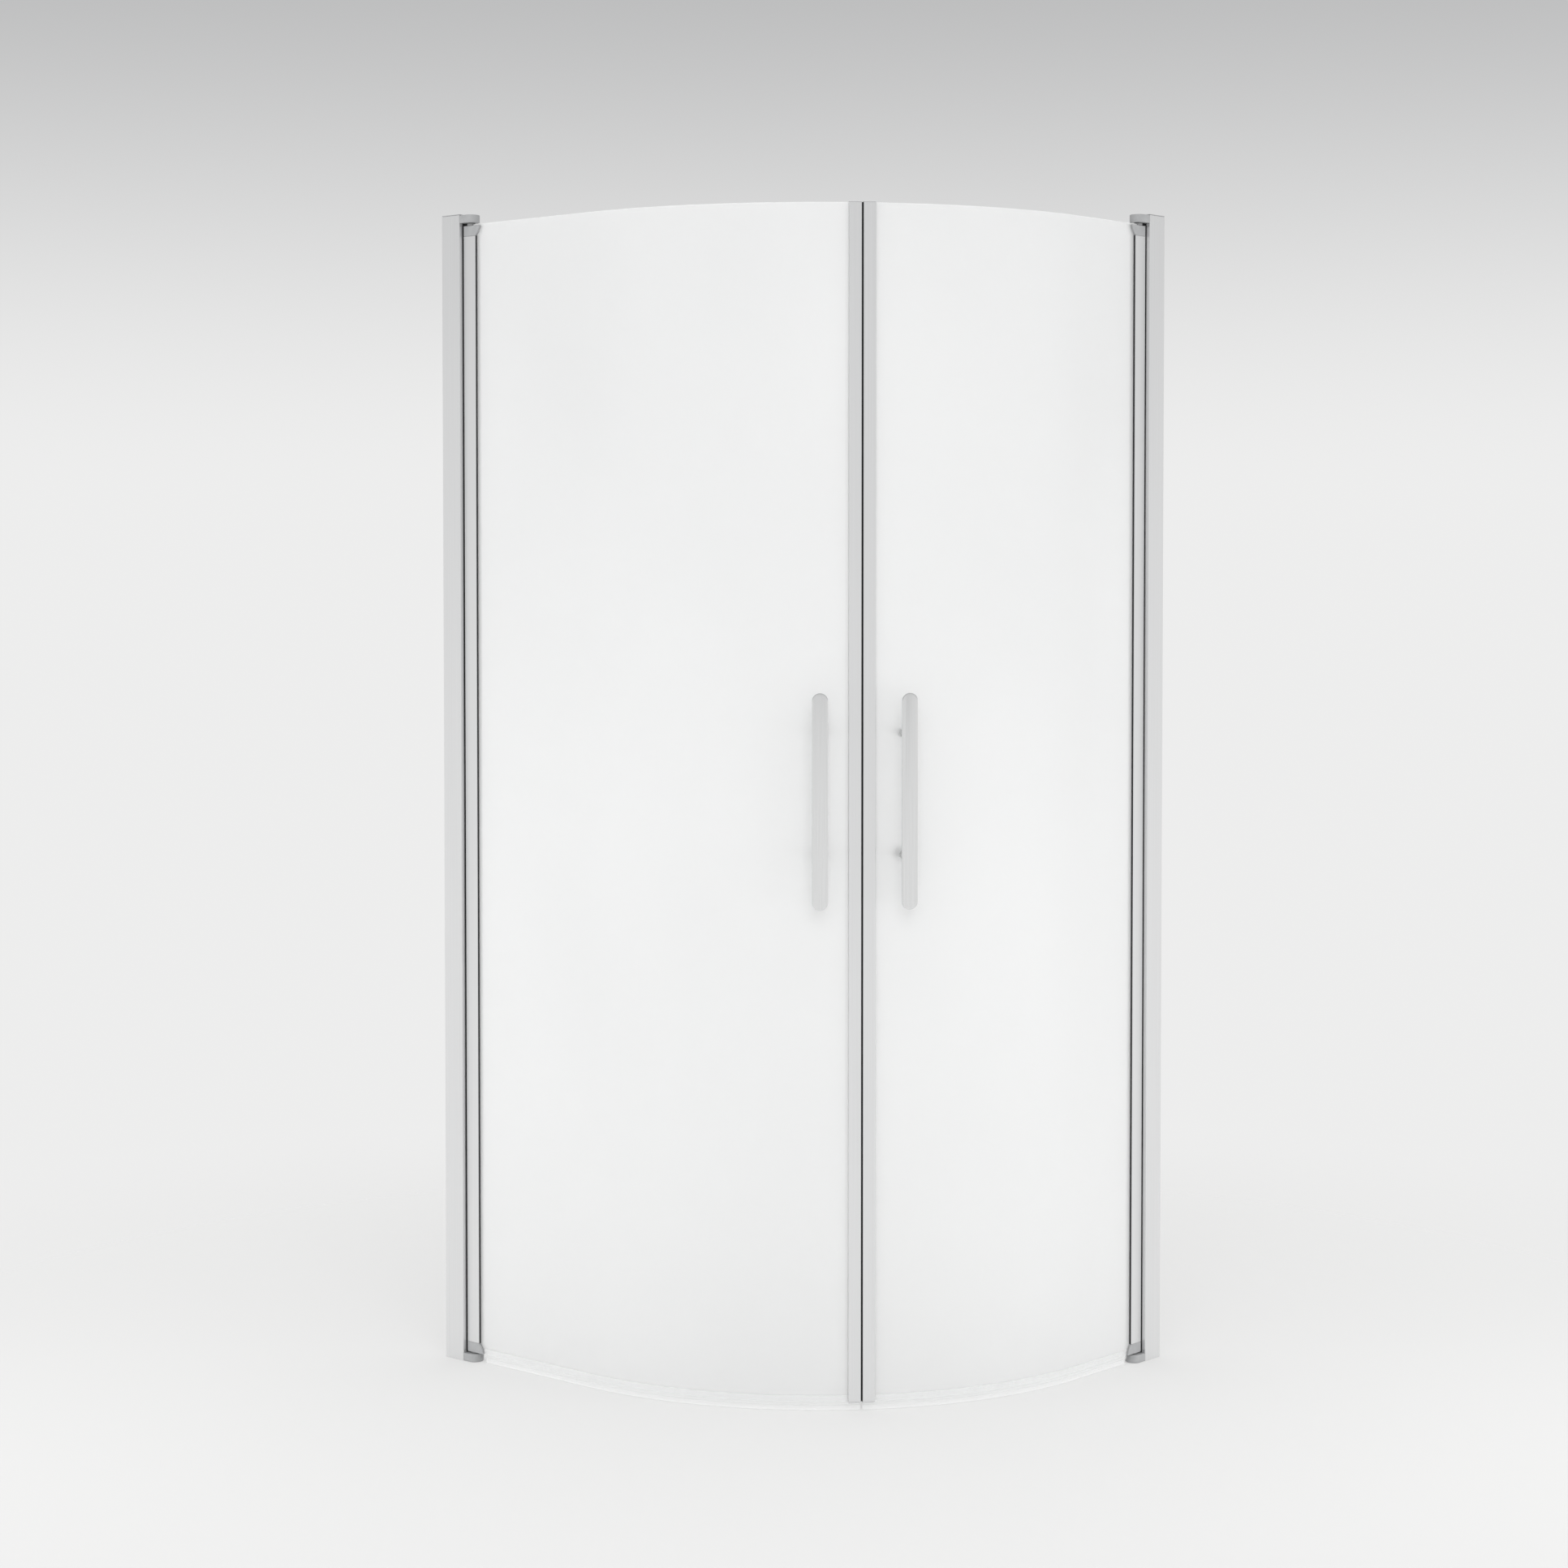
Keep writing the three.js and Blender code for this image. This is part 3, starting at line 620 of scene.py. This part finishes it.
# U-shaped bead round the edge of the glass: an upright prism, half of its section mirrored across the
# middle of the glass. Both legs turn over the lips of the stile.
def addBead(side):
    (u0, u1), (w0, _), (z0, z1) = planBox(side, "glazing_gasket")
    glassFront = glassInset - seat
    lipEnd = u1 - beadLook["cover"]
    lipInner = w0 - beadLook["coverDrop"] + stileLook["lip"] + seat
    edge = beadLook["round"]
    half = [
        (u0, lipInner), (lipEnd, lipInner), (lipEnd, w0, edge), (u1, w0, edge), (u1, glassFront, edge),
        (u0 + beadLook["base"], glassFront),
    ]
    otherHalf = [(corner[0], 2 * middle - corner[1], *corner[2:]) for corner in half[::-1]]
    bead = prism(rounded(half + otherHalf), z0, z1)
    addPiece("glazingBead", side, side["door"], "glazing_gasket", "rubber", bead)


stileCapLook = {
    "corner": 0.002,
    "toe": 0.0016,            # height of the cap at its tip, and at the end of the stile
    "height": 0.0169,
    "flare": 0.010,           # how far the tip reaches past the stile
    "bulge": 0.62,            # place of the curve's control point; 0.5 is a straight slope
    "curvePoints": 13,
    "bevel": 0.0004,
}


# Cap of the stile: a stack of outlines, whose reach along the glass follows a quadratic curve with one
# control point, from the toe at the end of the door to the end of the stile. The slot for the glass is open.
def addStileCap(side, end):
    (u0, u1), (w0, w1), (z0, z1) = planBox(side, "stile_cap_" + end)
    door, way = (z0, 1) if end == "bottom" else (z1, -1)
    slot = planBox(side, "door_glass")[0][0] - seat
    front, rear = glassInset - seat, glassInset + glass["thickness"] + seat
    corner, flare, bulge = stileCapLook["corner"], stileCapLook["flare"], stileCapLook["bulge"]
    toe, height = stileCapLook["toe"], stileCapLook["height"]
    t = np.linspace(0, 1, stileCapLook["curvePoints"])
    levels = (1 - t) ** 2 * toe + 2 * t * (1 - t) * (toe + (height - toe) * bulge) + t**2 * height
    reaches = u1 - flare * (2 * t * (1 - t) * (1 - bulge) + t**2)
    rings = []
    for level, reach in zip([0, *levels], [u1, *reaches]):
        outline = rounded([
            (u0, w0, corner), (reach, w0), (reach, front), (slot, front),
            (slot, rear), (reach, rear), (reach, w1), (u0, w1, corner),
        ])
        rings.append(ring(outline, door + way * level))
    cap = skin(np.stack(rings))
    bevel = stileCapLook["bevel"]
    addPiece(end + "StileCap", side, side["door"], "stile_cap_" + end, "cap", cap, bevel=bevel)


bushLook = {"bore": 0.0043, "proud": 0.0002, "round": 0.0002}


# Bush: a turned ring round the pin, which stands just proud of the cap
def addBush(side, end):
    (u0, u1), (w0, w1), (z0, z1) = planBox(side, "pivot_bush_" + end)
    door, way = (z0, 1) if end == "bottom" else (z1, -1)
    radius, depth = (u1 - u0) / 2, z1 - z0
    bore, proud = bushLook["bore"], bushLook["proud"]
    profile = rounded([
        (bore, -proud), (radius, -proud, bushLook["round"]), (radius, depth), (bore, depth),
    ], steps=3)
    bush = turned(profile, ((u0 + u1) / 2, (w0 + w1) / 2, door), (0, 0, way), ends="loop")
    addPiece(end + "PivotBush", side, side["door"], "pivot_bush_" + end, "bush", bush)


# Section of the meeting strip, in plan
stripLook = {
    "toJoint": 0.0014,         # from the joint of the two doors
    "width": 0.0197,
    "cheek": 0.004,            # how far it stands out from each face of the glass
    "round": 0.0011,
    "magnet": 0.006,           # depth of the groove for the magnet strip
    "grooveWall": 0.0014,
    "web": 0.002,              # between the groove and the slot for the glass
    "glassGap": 0.0004,
    "capEdge": 0.0004,
}


# Bent pane: a section with rounded arrises carried along the line of the glass
def addGlass(side):
    (start, _), _, (z0, z1) = planBox(side, "door_glass")
    end = side["run"] - stripLook["toJoint"] - stripLook["magnet"] - stripLook["web"] - seat
    arris, thick = glass["arris"], glass["thickness"]
    section = rounded([(0, z0, arris), (thick, z0, arris), (thick, z1, arris), (0, z1, arris)], steps=5)
    pane = alongStrip(side, section, start, end, glass["step"])
    addPiece("glassPane", side, side["door"], "door_glass", "frosted", pane)


# Plan outline from points (distance before the joint, inset behind the glass's face, radius)
def beforeJoint(side, corners):
    flat = rounded(corners)
    return alongGlass(side, side["run"] - flat[:, 0], flat[:, 1])


# Strip on the meeting edge: an upright prism with a slot for the glass and a groove for the magnet strip
def addClosingProfile(side):
    z0, z1 = planBox(side, "closing_profile")[2]
    thick, soft = glass["thickness"], stripLook["round"]
    outer, inner = -stripLook["cheek"], thick + stripLook["cheek"]
    start = stripLook["toJoint"]
    end = start + stripLook["width"]
    groove = start + stripLook["magnet"]
    grooveOuter, grooveInner = outer + stripLook["grooveWall"], inner - stripLook["grooveWall"]
    slot = groove + stripLook["web"]
    slotOuter, slotInner = -stripLook["glassGap"], thick + stripLook["glassGap"]
    outline = beforeJoint(side, [
        (end, outer, soft), (start, outer, soft), (start, grooveOuter), (groove, grooveOuter),
        (groove, grooveInner), (start, grooveInner), (start, inner, soft), (end, inner, soft),
        (end, slotInner), (slot, slotInner), (slot, slotOuter), (end, slotOuter),
    ])
    addPiece("closingProfile", side, side["door"], "closing_profile", "satin", prism(outline, z0, z1))


# End cap of the strip: a pad with the strip's outline
def addClosingCap(side, end):
    z0, z1 = planBox(side, "closing_cap_" + end)[2]
    outer, inner = -stripLook["cheek"], glass["thickness"] + stripLook["cheek"]
    start = stripLook["toJoint"]
    far = start + stripLook["width"]
    soft = stripLook["round"]

    def ringAt(inset):
        return beforeJoint(side, [
            (far - inset, outer + inset, soft), (start + inset, outer + inset, soft),
            (start + inset, inner - inset, soft), (far - inset, inner - inset, soft),
        ])

    plate = pad(ringAt, z0, z1, stripLook["capEdge"], ring)
    addPiece(end + "ClosingCap", side, side["door"], "closing_cap_" + end, "stripCap", plate)


magnetLook = {"inset": 0.0017, "round": 0.0008}


# Magnet strip in the groove: an upright prism with round corners towards the other door
def addMagnet(side):
    z0, z1 = planBox(side, "magnet_seal")[2]
    front = -stripLook["cheek"] + magnetLook["inset"]
    rear = glass["thickness"] - front
    start, end = seat, stripLook["toJoint"] + stripLook["magnet"] - seat
    soft = magnetLook["round"]
    outline = beforeJoint(side, [(end, front), (start, front, soft), (start, rear, soft), (end, rear)])
    addPiece("magnetStrip", side, side["door"], "magnet_seal", "rubber", prism(outline, z0, z1))


sealLook = {
    "leg": 0.0013,
    "lip": 0.0016,            # thickness of the lip, height of its tip and how far it leans outwards
    "lipLow": 0.001,
    "lean": 0.0008,
    "floor": 0.0095,          # height of the clip's underside
    "shoulder": 0.0008,       # radii of the clip's lower corners, of the lip's root and of all tips
    "root": 0.0006,
    "tip": 0.0005,
    "startGap": 0.001,        # gaps to the cap of the stile and to the joint of the doors
    "jointGap": 0.002,
    "step": 0.006,
}


# Clear clip on the bottom edge with a lip that leans outwards to the floor: a section carried along the
# line of the glass. Under the meeting strip only its lower part runs on, below the cap of the strip.
def addBottomSeal(side):
    top = planBox(side, "bottom_seal")[2][1]
    shelf = planBox(side, "closing_cap_bottom")[2][0] - seat
    bed = planBox(side, "door_glass")[2][0] - seat
    start = planBox(side, "stile_cap_bottom")[0][1] + sealLook["startGap"]
    end = side["run"] - sealLook["jointGap"]
    clipEnd = side["run"] - stripLook["toJoint"] - stripLook["width"] - seat
    thick, lip, lean = glass["thickness"], sealLook["lip"], sealLook["lean"]
    inner, outer = seat, seat + sealLook["leg"]
    lipStart, lipEnd = (thick - lip) / 2, (thick + lip) / 2
    floor, low = sealLook["floor"], sealLook["lipLow"]
    shoulder, root, tip = sealLook["shoulder"], sealLook["root"], sealLook["tip"]
    section = rounded([
        (-outer, floor, shoulder), (lipStart, floor, root), (lipStart - lean, low, tip),
        (lipEnd - lean, low, tip), (lipEnd, floor, root), (thick + outer, floor, shoulder),
        (thick + outer, top, tip), (thick + inner, top, tip), (thick + inner, bed),
        (-inner, bed), (-inner, top, tip), (-outer, top, tip),
    ], steps=4)
    seal = alongStrip(side, section, start, end, sealLook["step"], clipEnd, shelf)
    addPiece("bottomSeal", side, side["door"], "bottom_seal", "clear", seal)


# Handle: bar, standoffs, washers, knob and cap nut, in the plane across the glass

handleLook = {
    "fromJoint": 0.066,
    "width": 0.025,
    "offGlass": 0.036,        # from the glass to the middle of the bar
    "thickness": 0.005,
    "edge": 0.0011,
    "endPoints": 29,
}
barInner = handleLook["offGlass"] - handleLook["thickness"] / 2


# Point on the glass, direction along the glass and outward direction at the handle
def handlePlace(side):
    run = side["run"] - handleLook["fromJoint"]
    turn = (run - side["straight"]) / glass["bendRadius"]
    foot = alongGlass(side, np.array(run), 0.0)
    return foot, np.array([math.cos(turn), math.sin(turn)]), np.array([math.sin(turn), -math.cos(turn)])


# Flat bar: a pad whose outline is two half circles joined by straight sides
def addHandleBar(side):
    foot, across, out = handlePlace(side)
    z0, z1 = planBox(side, "handle_bar")[2]
    radius = handleLook["width"] / 2

    def ringAt(inset):
        low = np.linspace(-math.pi, 0, handleLook["endPoints"])
        high = np.linspace(0, math.pi, handleLook["endPoints"])
        bottom = np.stack([np.cos(low), np.sin(low)], -1) * (radius - inset) + (0, z0 + radius)
        top = np.stack([np.cos(high), np.sin(high)], -1) * (radius - inset) + (0, z1 - radius)
        return np.concatenate([bottom, top])

    def lay(outline, level):
        plan = foot + outline[:, :1] * across + level * out
        return np.column_stack([plan, outline[:, 1]])

    bar = pad(ringAt, barInner, barInner + handleLook["thickness"], handleLook["edge"], lay)
    addPiece("handleBar", side, side["door"], "handle_bar", "handle", bar)


# Radii and distances from a face of the glass: outwards for standoff and washer, inwards for stud, knob and
# nut. Knob and nut are corners (radius, distance, rounding).
fixingLook = {
    "stud": 0.003,
    "studDepth": 0.011,
    "bore": 0.0033,
    "boreDepth": 0.0113,
    "post": 0.0055,
    "postStart": 0.0016,
    "postFootRound": 0.0004,
    "postHeadRound": 0.0002,
    "washer": 0.007,
    "washerTop": 0.0013,
    "washerRound": 0.0003,
    "knob": [
        (0.0065, 0), (0.0065, 0.0055, 0.0012), (0.011, 0.0070, 0.001), (0.0125, 0.0085, 0.0012),
        (0.0125, 0.0150, 0.0016), (0, 0.0150),
    ],
    "nut": [(0.0075, 0), (0.0075, 0.0120, 0.0060), (0, 0.0135)],
}


# Turned pieces on the axis of each fixing; their profiles go outwards from the outer face of the glass
def addHandleFixings(side):
    foot, _, out = handlePlace(side)
    inside = -glass["thickness"] - seat
    heights = {end: sum(planBox(side, "handle_standoff_" + end)[2]) / 2 for end in ("lower", "upper")}

    def addFixing(name, node, finish, end, corners, ends="point"):
        surface = turned(rounded(corners, steps=4), (*foot, heights[end]), (*out, 0), ends)
        addPiece(name, side, side["door"], node, finish, surface)

    stud, post, bore, washer = (fixingLook[key] for key in ("stud", "post", "bore", "washer"))
    studEnd, boreEnd = fixingLook["studDepth"], fixingLook["boreDepth"]
    postStart, postEnd = fixingLook["postStart"], barInner - seat
    washerTop, soft = fixingLook["washerTop"], fixingLook["washerRound"]

    # Closed profile of a piece on the inner side, with a blind bore for the stud
    def behindGlass(corners):
        shape = [(0, boreEnd), (bore, boreEnd), (bore, 0), *corners]
        return [(radius, inside - distance, *rounding) for radius, distance, *rounding in shape[::-1]]

    standoffShape = [
        (0, inside - studEnd), (stud, inside - studEnd), (stud, postStart),
        (post, postStart, fixingLook["postFootRound"]), (post, postEnd, fixingLook["postHeadRound"]),
        (0, postEnd),
    ]
    washerShape = [(bore, seat), (washer, seat, soft), (washer, washerTop, soft), (bore, washerTop)]
    for end in ("lower", "upper"):
        addFixing(end + "Standoff", "handle_standoff_" + end, "handle", end, standoffShape)
        addFixing(end + "Washer", "glass_washer_" + end, "clear", end, washerShape, ends="loop")
    addFixing("innerKnob", "inner_knob", "handle", "lower", behindGlass(fixingLook["knob"]))
    addFixing("innerNut", "inner_cap", "handle", "upper", behindGlass(fixingLook["nut"]))


for side in sides:
    addPostCap(side)
    addPostSeal(side)
    for end in ("bottom", "top"):
        addBracket(side, end)
        addPin(side, end)
        addBracketScrew(side, end)
        addStileCap(side, end)
        addBush(side, end)
        addClosingCap(side, end)
    addStile(side)
    addBead(side)
    addGlass(side)
    addClosingProfile(side)
    addMagnet(side)
    addBottomSeal(side)
    addHandleBar(side)
    addHandleFixings(side)
    print("pieces made on the", side["name"])


# Camera of the photograph. It is tilted down a little, so that the lens shift stays small.

view = {
    "place": (3.896, -4.354, 1.309),
    "yaw": math.radians(41.401),
    "pitch": math.radians(-2.097),
    "focalPixels": 3896.0,
    "principalRow": 850.0,
    "imageSide": 1932,
    "sensorWidth": 36,
    "clipEnd": 100,
}
camera = bpy.data.objects.new("camera", bpy.data.cameras.new("camera"))
scene.collection.objects.link(camera)
camera.location = view["place"]
camera.rotation_euler = (rightAngle + view["pitch"], 0, view["yaw"])
camera.data.sensor_width = view["sensorWidth"]
camera.data.lens = view["sensorWidth"] * view["focalPixels"] / view["imageSide"]
camera.data.shift_y = (view["principalRow"] - view["imageSide"] / 2) / view["imageSide"]
camera.data.clip_end = view["clipEnd"]
scene.camera = camera


# Studio: pale floor that fades into the background, soft lamps

studio = {
    "lowBackdrop": (0.85, 0.85, 0.848),
    "highBackdrop": (0.46, 0.462, 0.466),
    "lowSlope": 0.025,            # slopes between which the backdrop changes from low to high
    "highSlope": 0.225,
    "ambient": 0.9,
    "floorColour": (0.78, 0.78, 0.775),
    "floorGlow": 0.45,            # share of the backdrop's own brightness in the floor that is seen
    "floorCentre": (0.45, -0.4),
    "floorRadius": 2.6,
    "floorFacets": 96,
    "floorDrop": 0.0004,          # how far it lies below the object
    "fadeStart": 0.7,
    "fadeEnd": 2.4,
}
lamps = {
    "keyLamp": {"place": (4.2, -4.2, 3.6), "target": (0.5, -0.5, 0.8), "size": (3.5, 3.0), "power": 92},
    "lowLampLeft": {"place": (-0.6, -2.9, 0.5), "target": (0.4, -0.75, 0.4), "size": (1.6, 0.8), "power": 17},
    "lowLampRight": {"place": (2.9, 0.3, 0.5), "target": (0.85, -0.3, 0.4), "size": (1.6, 0.8), "power": 15},
}


# 1 for camera, mirror and see-through rays, 0 for the rays that carry the lighting
def seenRay(tree):
    ray = tree.nodes.new("ShaderNodeLightPath")
    seen = Field(tree, ray.outputs["Is Camera Ray"])
    for name in ("Is Glossy Ray", "Is Transmission Ray"):
        seen = seen.math("MAXIMUM", seen, Field(tree, ray.outputs[name]))
    return seen


# Floor: a disc, matte near the object, then see-through, by the distance from its centre. Where it is
# seen, part of it has the backdrop's own brightness and the rest takes light and shadow.
def makeFloor():
    mesh = bpy.data.meshes.new("floor")
    angle = np.linspace(0, 2 * math.pi, studio["floorFacets"], endpoint=False)
    rim = np.column_stack([np.cos(angle), np.sin(angle), np.zeros(len(angle))]) * studio["floorRadius"]
    rim = rim + (*studio["floorCentre"], -studio["floorDrop"])
    mesh.from_pydata(rim.tolist(), [], [list(range(len(rim)))])
    floor = bpy.data.objects.new("floor", mesh)
    scene.collection.objects.link(floor)
    material = bpy.data.materials.new("paleFloor")
    tree = Tree(material)
    place = tree.node("ShaderNodeTexCoord", output="Object")
    centre = (*studio["floorCentre"], 0)
    offset = tree.node("ShaderNodeVectorMath", {"operation": "SUBTRACT"}, {0: place, 1: centre})
    distance = tree.node("ShaderNodeVectorMath", {"operation": "LENGTH"}, {0: offset}, output="Value")
    fade = tree.rise(distance, studio["fadeStart"], studio["fadeEnd"])
    lit = tree.node("ShaderNodeBsdfDiffuse", {}, {"Color": (*studio["floorColour"], 1)})
    glow = tree.node("ShaderNodeEmission", {}, {"Color": (*studio["lowBackdrop"], 1), "Strength": 1.0})
    matte = tree.node("ShaderNodeMixShader", {}, {0: seenRay(tree) * studio["floorGlow"], 1: lit, 2: glow})
    clear = tree.node("ShaderNodeBsdfTransparent")
    mixed = tree.node("ShaderNodeMixShader", {}, {0: fade, 1: matte, 2: clear})
    tree.node("ShaderNodeOutputMaterial", {}, {"Surface": mixed})
    mesh.materials.append(material)


# World: the backdrop for camera, mirror and see-through rays, a plain level for the lighting. The backdrop
# goes from its low to its high colour by the slope, the z of the ray's direction.
def makeWorld():
    world = bpy.data.worlds.new("studio")
    scene.world = world
    tree = Tree(world)
    direction = tree.node("ShaderNodeTexCoord", output="Generated")
    slope = tree.node("ShaderNodeSeparateXYZ", {}, {0: direction}, output="Z")
    change = tree.rise(slope, studio["lowSlope"], studio["highSlope"])
    backdrop = tree.mix(change, (*studio["lowBackdrop"], 1), (*studio["highBackdrop"], 1))
    ambient = (*[studio["ambient"]] * 3, 1)
    colour = tree.mix(seenRay(tree), ambient, backdrop)
    light = tree.node("ShaderNodeBackground", {}, {"Color": colour, "Strength": 1.0})
    tree.node("ShaderNodeOutputWorld", {}, {"Surface": light})


def addLamp(name, place, target, size, power):
    lamp = bpy.data.objects.new(name, bpy.data.lights.new(name, "AREA"))
    scene.collection.objects.link(lamp)
    lamp.data.shape = "RECTANGLE"
    lamp.data.size, lamp.data.size_y = size
    lamp.data.energy = power
    lamp.location = place
    lamp.visible_glossy = False              # metal mirrors the backdrop alone
    lamp.visible_transmission = False        # and no lamp glares through the glass
    x, y, z = np.array(target) - np.array(place)
    lamp.rotation_euler = (math.atan2(math.hypot(x, y), -z), 0, math.atan2(y, x) - rightAngle)


makeFloor()
makeWorld()
for name, lamp in lamps.items():
    addLamp(name, **lamp)

scene.view_settings.view_transform = "Standard"
print("scene ready")
